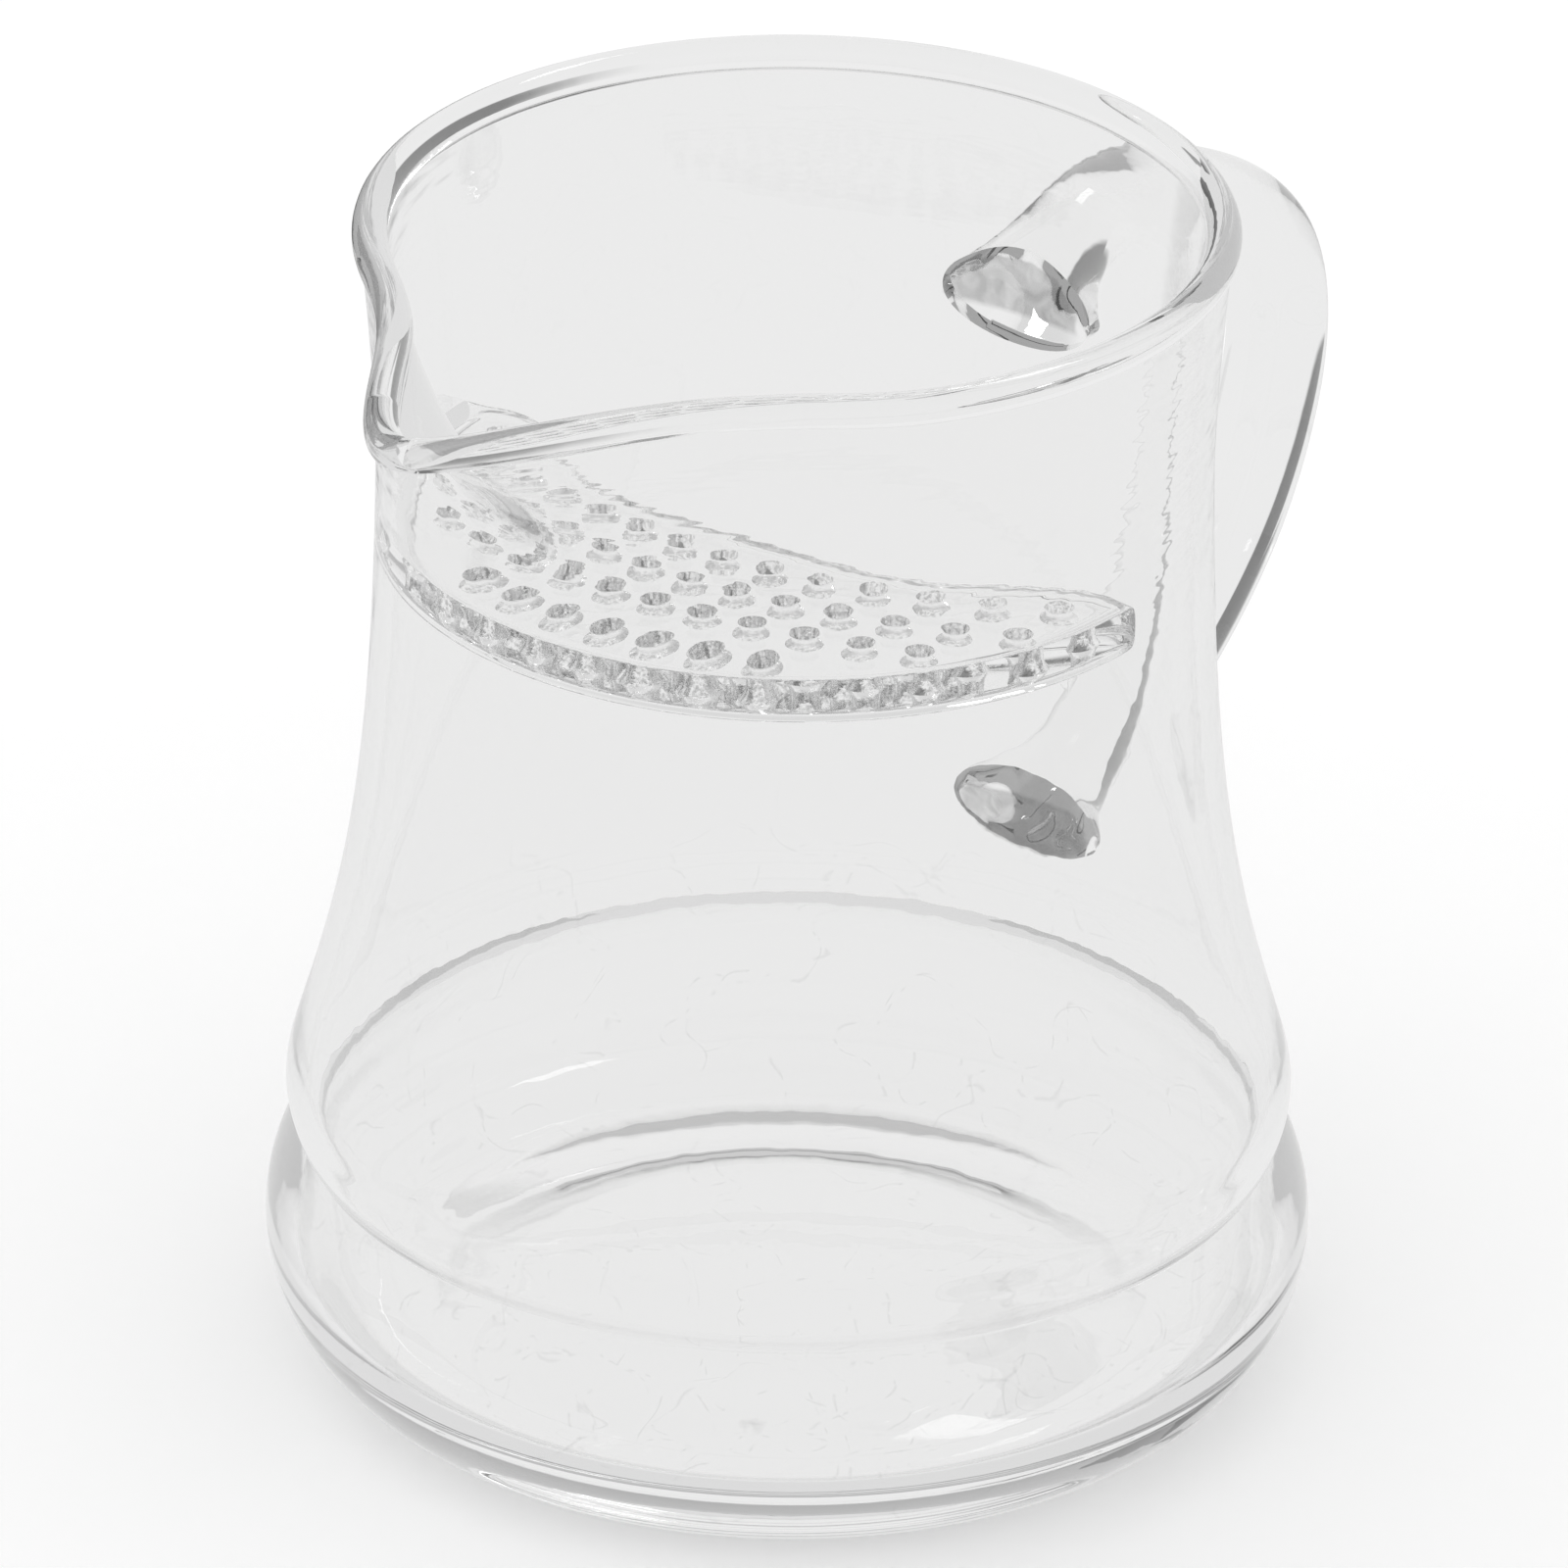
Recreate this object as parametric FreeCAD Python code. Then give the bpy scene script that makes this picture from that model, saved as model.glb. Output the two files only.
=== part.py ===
# Glass tea pitcher: a blown body with a pinched spout, a solid glass rod handle and a pressed glass
# strainer plate, all three fused into one piece.  Millimetres, +Z up.  The origin is the centre of the
# resting plane; the spout points to +X and the handle to -X.
import FreeCAD
import Part

import math
import os

V = FreeCAD.Vector

# sizes of the body
wall = 1.9
rim_radius = 39.0            # outer radius of the rim bead
bead_radius = 1.6            # fire-polished bead round the rim
rim_height = 110.1           # bead centre, away from the spout
neck_outer_radius = 37.1
neck_height = 88.0
rest_inner_radius = 36.0     # flat ring the pitcher rests on
rest_outer_radius = 39.0
bulge_radius = 47.4          # widest point of the foot bulge
bulge_height = 12.6
groove_radius = 43.9         # sharp groove between bulge and flare
groove_height = 21.7
flare_radius = 45.5          # lower lip of the flared waist
flare_height = 26.2
flare_top = (flare_radius - 0.35, flare_height + 2.2)
punt_height = 1.6            # hollow under the middle of the base
floor_height = 4.5           # inner floor

# sizes of the spout
spout_reach = 59.7           # bead centre at the tip
spout_spread = 14.6          # degrees, how fast the lip falls back to the circle
spout_power = 1.3
tip_softness = 2.2           # degrees, rounding of the tip
spout_root_height = 89.5
spout_curve = 1.8            # how the spout grows from its root to the lip
lip_rise = 1.6               # the lip is this much above the rest of the rim
lip_start = 22.0             # x where the rim starts to rise

# sizes of the handle
rod_radius = 4.75
weld_half_width = 8.2        # each weld is pressed flat: wide across the mirror plane
weld_half_height = 4.8
weld_length = 9.0
handle_reach = 80.2          # centreline, farthest from the axis
upper_root_height = 88.6
lower_root_height = 35.0
lower_weld_shift = -1.2      # the lower weld sits a little to one side

# sizes of the strainer plate
plate_top = 83.2
plate_thickness = 2.9
hole_radius = 1.1
plate_radius = neck_outer_radius - wall
hole_pitch = 0.1364 * plate_radius
row_pitch = 0.145 * plate_radius
first_row = 0.318 * plate_radius      # distance of the first row of holes from the axis


def line(x1, z1, x2, z2):
    return Part.makeLine(V(x1, 0, z1), V(x2, 0, z2))


def arc(start, middle, end):
    return Part.Arc(V(start[0], 0, start[1]), V(middle[0], 0, middle[1]), V(end[0], 0, end[1])).toShape()


def bezier(points):
    curve = Part.BezierCurve()
    curve.setPoles([V(x, 0, z) for x, z in points])
    return curve.toShape()


def side_arc(widest, end):
    # arc that is upright at its widest point and runs through the end point
    run = widest[0] - end[0]
    rise = end[1] - widest[1]
    radius = (run ** 2 + rise ** 2) / (2 * run)
    centre_x = widest[0] - radius
    half = math.asin(rise / radius) / 2
    middle = (centre_x + radius * math.cos(half), widest[1] + radius * math.sin(half))
    return arc(widest, middle, end)


def waist_curve(outside):
    # flared waist, from just above its lower lip to the neck; outside is 0 on the outer face
    start = (flare_top[0] - outside, flare_top[1])
    end = (join_outer - outside, join_height)
    return bezier([start, (start[0] - 4.45, start[1] + 14), (end[0] + 0.55, end[1] - 30), end])


# lower body: profiles of arcs and one flowing waist, turned round the axis
join_height = neck_height - 4
join_outer = neck_outer_radius + 0.06
join_inner = join_outer - wall
groove = (groove_radius, groove_height)
widest = (bulge_radius, bulge_height)
flare = (flare_radius, flare_height)
punt_edges = [line(0, punt_height, 0.7 * rest_inner_radius, punt_height),
              line(0.7 * rest_inner_radius, punt_height, rest_inner_radius, 0)]
foot_edge = line(rest_inner_radius, 0, rest_outer_radius, 0)
outer_edges = [
    side_arc(widest, (rest_outer_radius, 0)),
    side_arc(widest, groove),
    side_arc(flare, groove),
    side_arc(flare, flare_top),
    waist_curve(0),
]

inner_widest = (bulge_radius - wall - 0.1, bulge_height)
inner_groove = (groove_radius - wall, groove_height)
inner_flare = (flare_radius - wall, flare_height)
inner_flare_top = (flare_top[0] - wall, flare_top[1])
floor_radius = rest_inner_radius - 2
floor_edge = line(0, floor_height, floor_radius, floor_height)
inner_edges = [
    floor_edge,
    line(floor_radius, floor_height, inner_widest[0] - 2.9, floor_height + 2.6),
    side_arc(inner_widest, (inner_widest[0] - 2.9, floor_height + 2.6)),
    side_arc(inner_widest, inner_groove),
    side_arc(inner_flare, inner_groove),
    side_arc(inner_flare, inner_flare_top),
    waist_curve(wall),
]


def smooth(points):
    curve = Part.BSplineCurve()
    curve.interpolate(Points=points)
    return curve.toShape()


def turned(edges):
    return [edge.revolve(V(0, 0, 0), V(0, 0, 1), 360) for edge in edges]


def turned_solid(edges):
    wire = Part.Wire(Part.sortEdges(edges)[0])
    return Part.Face(wire).revolve(V(0, 0, 0), V(0, 0, 1), 360)


lower_faces = turned(punt_edges + [foot_edge] + outer_edges + inner_edges)

# upper body: sections that are round at the neck and pinched to a spout at the rim
half_angles = [0, 2.5, 5.5, 9, 13.5, 19, 27, 38, 55, 78, 105, 140]
section_angles = half_angles + [180] + [360 - angle for angle in reversed(half_angles[1:])]
section_parameters = [angle / 360.0 for angle in section_angles] + [1.0]
bead_centre = rim_radius - bead_radius
neck_middle = neck_outer_radius - wall / 2


def lip_shape(degrees):
    angle = min(degrees % 360.0, 360.0 - degrees % 360.0)
    soft = (angle ** 2 + tip_softness ** 2) ** (spout_power / 2) - tip_softness ** spout_power
    return math.exp(-soft / spout_spread ** spout_power)


def rim_rise(x):
    # how far the rim has risen at x above its level away from the spout
    part = min(1.0, max(0.0, (x - lip_start) / (spout_reach - lip_start)))
    return lip_rise * (1 - (1 - part) ** 2) * min(1.0, 4 * part)


def wall_point(degrees, drop):
    # middle of the wall, drop below the bead centre
    angle = math.radians(degrees)
    radius = bead_centre + (spout_reach - bead_centre) * lip_shape(degrees)
    rise = rim_rise(radius * math.cos(angle)) * max(0.0, 1 - drop / (rim_height - spout_root_height))
    height = rim_height - drop
    part = max(0.0, (height - neck_height) / (rim_height - neck_height))
    growth = max(0.0, (height - spout_root_height) / (rim_height - spout_root_height)) ** spout_curve
    radius = (neck_middle + (bead_centre - neck_middle) * part ** 1.6
              + (spout_reach - bead_centre) * growth * lip_shape(degrees))
    return V(radius * math.cos(angle), radius * math.sin(angle), height + rise)


def section(drop, offset, lift=0.0):
    points = []
    for degrees in section_angles:
        along = wall_point(degrees + 0.05, drop) - wall_point(degrees - 0.05, drop)
        outward = V(along.y, -along.x, 0)
        outward.normalize()
        points.append(wall_point(degrees, drop) + outward * offset + V(0, 0, lift))
    curve = Part.BSplineCurve()
    curve.interpolate(Points=points, PeriodicFlag=True, Parameters=section_parameters)
    return Part.Wire(curve.toShape())


def ring(radius, height):
    return Part.Wire(Part.makeCircle(radius, V(0, 0, height), V(0, 0, 1)))


bead_foot = math.sqrt(bead_radius ** 2 - (wall / 2) ** 2)
wall_drops = [rim_height - neck_height, 16.0, 11.0, 6.0]
outer_foot = section(bead_foot, wall / 2)
inner_foot = section(bead_foot, -wall / 2)
outer_rings = [ring(join_outer, join_height)] + [section(drop, wall / 2) for drop in wall_drops] + [outer_foot]
inner_rings = [ring(join_inner, join_height)] + [section(drop, -wall / 2) for drop in wall_drops] + [inner_foot]
foot_angle = math.degrees(math.asin(bead_foot / bead_radius))
bead_steps = 10
bead_rings = [outer_foot]
for step in range(1, bead_steps):
    angle = math.radians(-foot_angle + (180 + 2 * foot_angle) * step / bead_steps)
    bead_rings.append(section(0, bead_radius * math.cos(angle), bead_radius * math.sin(angle)))
bead_rings.append(inner_foot)
upper_faces = Part.makeLoft(outer_rings, False).Faces + Part.makeLoft(inner_rings, False).Faces
upper_faces += Part.makeLoft(bead_rings, False, True).Faces

skin = Part.Compound(lower_faces + upper_faces).copy()
skin.sewShape(0.002)
body = Part.Solid(skin.Shells[0])
if body.Volume < 0:
    body.reverse()

# the body without its hollow, and the hollow, for trimming the handle and the strainer plate
block = turned_solid(outer_edges + [line(join_outer, join_height, 0, join_height), line(0, join_height, 0, 0),
                                    line(0, 0, rest_outer_radius, 0)])
neck_block = Part.makeCylinder(join_outer, rim_height - join_height, V(0, 0, join_height))
hollow = turned_solid(inner_edges + [line(join_inner, join_height, 0, join_height),
                                     line(0, join_height, 0, floor_height)])


# handle: a bent rod, swollen where it is welded to the body
def handle_knot(out, up):
    # out is a share of the handle's reach beyond the neck, up a share of the height between its welds
    x = neck_outer_radius + out * (handle_reach - neck_outer_radius)
    sideways = lower_weld_shift * max(0.0, 1 - up / 0.4)
    return V(-x, sideways, lower_root_height + up * (upper_root_height - lower_root_height))


handle_knots = [(-0.035, 0.985), (0.009, 1.004), (0.188, 1.066), (0.374, 1.076), (0.61, 1.011), (0.84, 0.904),
                (0.961, 0.795), (1.0, 0.662), (0.954, 0.5), (0.812, 0.306), (0.596, 0.142), (0.369, 0.038),
                (0.142, -0.002), (0.095, -0.004)]
handle_path = smooth([handle_knot(out, up) for out, up in handle_knots]).Curve
path_length = handle_path.length()
rod_steps = 12
ovals = []
for step in range(rod_steps + 1):
    distance = path_length * step / rod_steps
    place = handle_path.parameterAtDistance(distance, handle_path.FirstParameter)
    to_end = min(distance, path_length - distance)
    swell = max(0.0, 1 - to_end / weld_length) ** 2
    half_width = rod_radius * 1.001 + (weld_half_width - rod_radius) * swell
    half_height = rod_radius + (weld_half_height - rod_radius) * swell
    tangent = handle_path.tangent(place)[0]
    oval = Part.Wire(Part.Ellipse(V(0, 0, 0), half_width, half_height).toShape())
    turn = FreeCAD.Rotation(V(0, 1, 0), tangent.cross(V(0, 1, 0)), tangent, "ZXY")
    oval.Placement = FreeCAD.Placement(handle_path.value(place), turn)
    ovals.append(oval)
handle = Part.makeLoft(ovals, True).cut(block).cut(neck_block)

# strainer plate: a crescent on the spout side, let into the inner wall
# inner edge of the crescent from its middle round one horn into the wall, as shares of the plate's radius
edge_shares = [(0.19, 0), (0.1875, 0.17), (0.173, 0.341), (0.142, 0.483), (0.08, 0.602), (0.017, 0.71),
               (-0.028, 0.804), (-0.043, 0.881), (-0.028, 0.955), (0.026, 1.011), (0.099, 1.051)]
half_edge = [V(x * plate_radius, y * plate_radius, 0) for x, y in edge_shares]
edge_points = [V(p.x, -p.y, 0) for p in reversed(half_edge[1:])] + half_edge
crescent_edge = smooth(edge_points)
outside = neck_outer_radius + wall
crescent_edges = [
    crescent_edge,
    Part.makeLine(edge_points[-1], V(outside, edge_points[-1].y, 0)),
    Part.makeLine(V(outside, edge_points[-1].y, 0), V(outside, edge_points[0].y, 0)),
    Part.makeLine(V(outside, edge_points[0].y, 0), edge_points[0]),
]
crescent = Part.Face(Part.Wire(crescent_edges)).extrude(V(0, 0, plate_thickness))
crescent.translate(V(0, 0, plate_top - plate_thickness))
plate = crescent.common(hollow)

# rows of holes, each bowed away from the spout at its ends: holes on each side, and the bow as a share of
# the plate's radius
rows = [(6, 0.227), (6, 0.19), (5, 0.119), (3, 0.062)]
plate_bottom = plate_top - plate_thickness
holes = []
for index, (each_side, bow) in enumerate(rows):
    for place in range(-each_side, each_side + 1):
        y = place * hole_pitch * (1 + 0.005 * abs(place))
        x = first_row + row_pitch * index - bow * plate_radius * (abs(place) / float(each_side)) ** 2.1
        holes.append(Part.makeCylinder(hole_radius, plate_thickness, V(x, y, plate_bottom)))
plate = plate.cut(Part.makeCompound(holes))

os.makedirs("parts", exist_ok=True)
for node, shape in (("glass_body", body), ("handle", handle), ("strainer_plate", plate)):
    solids = shape.Solids
    shape = solids[0] if len(solids) == 1 else shape
    shape.exportStep("parts/" + node + ".step")
    box = shape.BoundBox
    print(node, "solids", len(solids), "valid", shape.isValid(), "volume %.0f" % shape.Volume,
          "x %.2f..%.2f y %.2f..%.2f z %.2f..%.2f" % (box.XMin, box.XMax, box.YMin, box.YMax, box.ZMin, box.ZMax))
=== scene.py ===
import math

import bpy
import numpy as np
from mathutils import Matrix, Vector


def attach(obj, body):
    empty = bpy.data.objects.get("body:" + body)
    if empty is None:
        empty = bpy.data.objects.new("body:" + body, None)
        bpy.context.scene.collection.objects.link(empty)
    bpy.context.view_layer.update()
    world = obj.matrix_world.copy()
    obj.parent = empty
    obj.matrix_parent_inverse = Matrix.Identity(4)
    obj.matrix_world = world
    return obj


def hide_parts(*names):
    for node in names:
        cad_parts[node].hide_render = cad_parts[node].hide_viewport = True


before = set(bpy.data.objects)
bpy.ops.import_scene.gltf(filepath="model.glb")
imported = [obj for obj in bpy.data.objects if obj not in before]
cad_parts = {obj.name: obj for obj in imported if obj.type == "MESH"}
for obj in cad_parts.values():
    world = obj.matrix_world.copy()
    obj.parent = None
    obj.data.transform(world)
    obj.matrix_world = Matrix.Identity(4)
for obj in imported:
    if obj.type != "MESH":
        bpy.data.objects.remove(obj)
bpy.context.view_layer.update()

# Glass tea pitcher. Sizes are in millimetres and turn into metres when a mesh is made.
# +Z is up, the spout points along +X and the handle along -X.
mm = 0.001


def stage(text):
    print("pitcher:", text)


def makeSolid(name, points, faces):
    # a closed shape; its faces are turned outwards if its volume comes out negative
    spots = np.array(points, float)
    volume = 0.0
    for face in faces:
        for k in range(1, len(face) - 1):
            volume += np.dot(spots[face[0]], np.cross(spots[face[k]], spots[face[k + 1]])) / 6
    if volume < 0:
        faces = [face[::-1] for face in faces]
    stage("%s: %.0f cubic mm" % (name, abs(volume)))
    return makeObject(name, points, faces)


def makeObject(name, points, faces):
    mesh = bpy.data.meshes.new(name)
    mesh.from_pydata([tuple(p * mm for p in point) for point in points], [], faces)
    mesh.update()
    made = bpy.data.objects.new(name, mesh)
    bpy.context.scene.collection.objects.link(made)
    return made


def skinRings(rings, startPole=None, endPole=None):
    # quads between closed rings of points; the ends close in a pole
    points = [tuple(p) for ring in rings for p in ring]
    count = len(rings[0])
    faces = []
    for row in range(len(rings) - 1):
        for place in range(count):
            after = (place + 1) % count
            faces.append((row * count + place, row * count + after,
                          (row + 1) * count + after, (row + 1) * count + place))
    if startPole is not None:
        points.append(tuple(startPole))
        faces += [((place + 1) % count, place, len(points) - 1) for place in range(count)]
    if endPole is not None:
        points.append(tuple(endPole))
        last = (len(rings) - 1) * count
        faces += [(last + place, last + (place + 1) % count, len(points) - 1) for place in range(count)]
    return points, faces


def splineThrough(knots, count):
    # natural cubic spline through the knots, sampled evenly along its length
    knots = np.array(knots, float)
    along = np.concatenate([[0], np.cumsum(np.linalg.norm(np.diff(knots, axis=0), axis=1))])
    size = len(knots)
    gap = np.diff(along)
    system = np.zeros((size, size))
    right = np.zeros((size, knots.shape[1]))
    system[0, 0] = system[-1, -1] = 1
    for i in range(1, size - 1):
        system[i, i - 1:i + 2] = gap[i - 1], 2 * (gap[i - 1] + gap[i]), gap[i]
        right[i] = 6 * ((knots[i + 1] - knots[i]) / gap[i] - (knots[i] - knots[i - 1]) / gap[i - 1])
    bend = np.linalg.solve(system, right)
    fine = np.linspace(0, along[-1], 40 * size)
    spot = np.clip(np.searchsorted(along, fine, side="right") - 1, 0, size - 2)
    a = (along[spot + 1] - fine)[:, None]
    b = (fine - along[spot])[:, None]
    h = gap[spot][:, None]
    curve = (bend[spot] * a ** 3 + bend[spot + 1] * b ** 3) / (6 * h) \
        + (knots[spot] / h - bend[spot] * h / 6) * a + (knots[spot + 1] / h - bend[spot + 1] * h / 6) * b
    length = np.concatenate([[0], np.cumsum(np.linalg.norm(np.diff(curve, axis=0), axis=1))])
    even = np.linspace(0, length[-1], count)
    return np.stack([np.interp(even, length, curve[:, k]) for k in range(knots.shape[1])], 1)


# blown body
body = {
    "wall": 1.9,
    "beadRadius": 1.6,
    "rimRadius": 39.0,          # outside of the bead
    "rimHeight": 110.1,         # middle of the bead
    "neckRadius": 37.1,
    "neckHeight": 88.0,
    "joinHeight": 84.0,         # above this the rings start to take the spout's shape
    "restInner": 36.0,
    "restOuter": 39.0,
    "bulge": (47.4, 12.6),
    "groove": (43.9, 21.7),
    "flare": (45.5, 26.2),
    "puntHeight": 1.6,
    "puntRadius": 25.2,
    "floorHeight": 4.5,
    "floorRadius": 34.0,        # where the inner floor starts to curve up
    "floorCorner": (2.9, 2.6),  # inside the bulge and above the floor, where the inner side starts
    "bulgeExtra": 0.1,          # how much thicker the wall is at the bulge
    "waistStart": (0.35, 2.2),  # inside and above the flare, where the waist starts
    "waistPulls": ((-4.45, 14), (0.55, -30)),       # the two handles of the waist's curve
    "joinEase": 0.06,
    "neckPower": 1.6,           # how late the neck widens towards the bead
    "softness": (1.1, 1.7),     # how round the outer and the inner profile's corners are
    "neckRings": (15, 6),       # rings up the neck, and over its last part below the bead
    "neckSplit": (6, 5.2),      # below the bead, where the first of them end and the second start
    "beadRings": 19,
    "around": 232,
    "tipDensity": 0.72,         # how much closer the points stand at the spout
}
spout = {
    "reach": 59.7,
    "spread": 14.6,             # degrees
    "power": 1.3,
    "tipSoftness": 2.2,         # degrees
    "rootHeight": 89.5,
    "curve": 1.8,
    "lipRise": 1.6,
    "lipStart": 22.0,
}
wall = body["wall"]
bulge, groove, flare = body["bulge"], body["groove"], body["flare"]
flareTop = (flare[0] - body["waistStart"][0], flare[1] + body["waistStart"][1])


def sideArc(widest, end, steps):
    # arc that is upright at its widest point and runs through the end point
    run = widest[0] - end[0]
    rise = end[1] - widest[1]
    radius = (run ** 2 + rise ** 2) / (2 * run)
    turn = np.linspace(0, math.asin(rise / radius), steps)
    return np.stack([widest[0] - radius + radius * np.cos(turn), widest[1] + radius * np.sin(turn)], 1)


def waistCurve(inward):
    # from the flare up to the neck, and inward from the outside
    start = np.array([flareTop[0] - inward, flareTop[1]])
    end = np.array([body["neckRadius"] + body["joinEase"] - inward, body["joinHeight"]])
    firstPull, secondPull = body["waistPulls"]
    second = start + firstPull
    third = end + secondPull
    t = np.linspace(0, 1, 200)[:, None]
    return start * (1 - t) ** 3 + 3 * second * t * (1 - t) ** 2 \
        + 3 * third * t ** 2 * (1 - t) + end * t ** 3


def softenProfile(profile, softness, sharpSpots, maxTurn=4.0, maxStep=2.4):
    # rounds the corners of a profile, less near the sharp spots, and spaces its points by how it bends
    sampleStep = 0.1
    samplesPerWidth = 35        # samples within three and a half widths
    leastWidth, widthGrowth, endShare = 0.12, 0.35, 0.4
    profile = np.array(profile, float)
    keep = np.concatenate([[True], np.linalg.norm(np.diff(profile, axis=0), axis=1) > 1e-6])
    profile = profile[keep]
    length = np.concatenate([[0], np.cumsum(np.linalg.norm(np.diff(profile, axis=0), axis=1))])
    even = np.arange(0, length[-1], sampleStep)
    fine = np.stack([np.interp(even, length, profile[:, 0]), np.interp(even, length, profile[:, 1])], 1)
    soft = fine.copy()
    for i, point in enumerate(fine):
        width = softness
        for spot in sharpSpots:
            width = min(width, leastWidth + widthGrowth * np.hypot(*(point - spot)))
        width = min(width, endShare * (even[i] - even[0]) + 1e-3, endShare * (even[-1] - even[i]) + 1e-3)
        samples = int(samplesPerWidth * width)
        low, high = max(0, i - samples - 1), min(len(fine), i + samples + 2)
        weight = np.exp(-0.5 * ((even[low:high] - even[i]) / width) ** 2)
        soft[i] = (fine[low:high] * weight[:, None]).sum(0) / weight.sum()
    chosen = [0]
    heading = np.unwrap(np.arctan2(*np.gradient(soft, axis=0).T[::-1]))
    for i in range(1, len(soft)):
        turned = abs(heading[i] - heading[chosen[-1]])
        if turned > math.radians(maxTurn) or even[i] - even[chosen[-1]] > maxStep:
            chosen.append(i)
    if chosen[-1] != len(soft) - 1:
        chosen.append(len(soft) - 1)
    return soft[chosen]


outerProfile = np.concatenate([
    [(0, body["puntHeight"]), (body["puntRadius"], body["puntHeight"]), (body["restInner"], 0)],
    sideArc(bulge, (body["restOuter"], 0), 40)[::-1],
    sideArc(bulge, groove, 40),
    sideArc(flare, groove, 30)[::-1],
    sideArc(flare, flareTop, 12),
    waistCurve(0),
])
innerBulge = (bulge[0] - wall - body["bulgeExtra"], bulge[1])
innerGroove = (groove[0] - wall, groove[1])
innerFlare = (flare[0] - wall, flare[1])
innerFloor = (innerBulge[0] - body["floorCorner"][0], body["floorHeight"] + body["floorCorner"][1])
innerProfile = np.concatenate([
    [(0, body["floorHeight"]), (body["floorRadius"], body["floorHeight"])],
    sideArc(innerBulge, innerFloor, 30)[::-1],
    sideArc(innerBulge, innerGroove, 40),
    sideArc(innerFlare, innerGroove, 30)[::-1],
    sideArc(innerFlare, (flareTop[0] - wall, flareTop[1]), 12),
    waistCurve(wall),
])
outerSoftness, innerSoftness = body["softness"]
outerProfile = softenProfile(outerProfile, outerSoftness, [groove])
innerProfile = softenProfile(innerProfile, innerSoftness, [innerGroove])

turn = np.arange(body["around"]) / body["around"] * 2 * np.pi
aroundAngles = turn - body["tipDensity"] * np.sin(turn)
beadCentre = body["rimRadius"] - body["beadRadius"]
neckMiddle = body["neckRadius"] - wall / 2


def lipShape(angle):
    # 1 at the spout's tip, falling to 0 around the rim
    degrees = np.degrees(np.abs((angle + np.pi) % (2 * np.pi) - np.pi))
    soft = (degrees ** 2 + spout["tipSoftness"] ** 2) ** (spout["power"] / 2) \
        - spout["tipSoftness"] ** spout["power"]
    return np.exp(-soft / spout["spread"] ** spout["power"])


def wallPoints(angle, drop):
    # middle of the wall, drop below the middle of the bead
    height = body["rimHeight"] - drop
    shape = lipShape(angle)
    lipRadius = beadCentre + (spout["reach"] - beadCentre) * shape
    lipRun = spout["reach"] - spout["lipStart"]
    part = np.clip((lipRadius * np.cos(angle) - spout["lipStart"]) / lipRun, 0, 1)
    rise = spout["lipRise"] * (1 - (1 - part) ** 2) * np.minimum(1, 4 * part)
    rise = rise * max(0.0, 1 - drop / (body["rimHeight"] - spout["rootHeight"]))
    part = max(0.0, (height - body["neckHeight"]) / (body["rimHeight"] - body["neckHeight"]))
    growth = max(0.0, (height - spout["rootHeight"]) / (body["rimHeight"] - spout["rootHeight"]))
    radius = neckMiddle + (beadCentre - neckMiddle) * part ** body["neckPower"] \
        + (spout["reach"] - beadCentre) * growth ** spout["curve"] * shape
    return np.stack([radius * np.cos(angle), radius * np.sin(angle), height + rise], -1)


def wallRing(drop, outward, lift=0.0):
    # a ring of the wall, moved outward from its middle and up
    step = 1e-3
    along = wallPoints(aroundAngles + step, drop) - wallPoints(aroundAngles - step, drop)
    facing = np.stack([along[:, 1], -along[:, 0], np.zeros(len(along))], 1)
    facing /= np.linalg.norm(facing, axis=1)[:, None]
    return wallPoints(aroundAngles, drop) + facing * outward + (0, 0, lift)


def circleRing(radius, height):
    return np.stack([radius * np.cos(aroundAngles), radius * np.sin(aroundAngles),
                     np.full(len(aroundAngles), height)], 1)


beadFoot = math.sqrt(body["beadRadius"] ** 2 - (wall / 2) ** 2)
footAngle = math.asin(beadFoot / body["beadRadius"])
drops = np.concatenate([
    np.linspace(body["rimHeight"] - body["neckHeight"], body["neckSplit"][0], body["neckRings"][0]),
    np.linspace(body["neckSplit"][1], beadFoot, body["neckRings"][1]),
])
rings = [circleRing(radius, height) for radius, height in outerProfile[1:]]
rings += [wallRing(drop, wall / 2) for drop in drops]
for angle in np.linspace(-footAngle, math.pi + footAngle, body["beadRings"])[1:-1]:
    rings.append(wallRing(0, body["beadRadius"] * math.cos(angle), body["beadRadius"] * math.sin(angle)))
rings += [wallRing(drop, -wall / 2) for drop in drops[::-1]]
rings += [circleRing(radius, height) for radius, height in innerProfile[:0:-1]]
points, faces = skinRings(rings, (0, 0, body["puntHeight"]), (0, 0, body["floorHeight"]))
glassBody = makeSolid("pitcherGlass", points, faces)
stage("body of %d rings, %d points" % (len(rings), len(points)))


# handle: a solid rod, pressed flat and wide where it is welded to the wall
handle = {
    "rodRadius": 4.75,
    "weldWide": 8.2,            # half the weld's width, across the handle's plane
    "weldTall": 4.9,
    "weldLength": 9.0,
    # distance from the axis, height, and how far the rod strays sideways
    "path": [(37.9, 89.0, 0), (45.2, 92.1, 0), (53.2, 92.65, 0), (63.4, 89.2, 0), (73.3, 83.45, 0),
             (78.5, 77.6, 0), (80.2, 70.5, 0), (78.5, 61.8, 0), (72.7, 51.3, -0.28), (63.3, 42.5, -0.78),
             (53.2, 36.9, -1.1), (43.3, 34.9, -1.2)],
    "easing": (9, 3.5),         # steps each way that smooth the path, and their spread
    "steps": 210,
    "around": 60,
}


def wallRadius(height):
    # outside of the body, away from the spout; the profile's first points lie under the base
    side = outerProfile[5:]
    return np.interp(height, side[:, 1], side[:, 0]) if height < body["joinHeight"] else body["neckRadius"]


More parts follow.
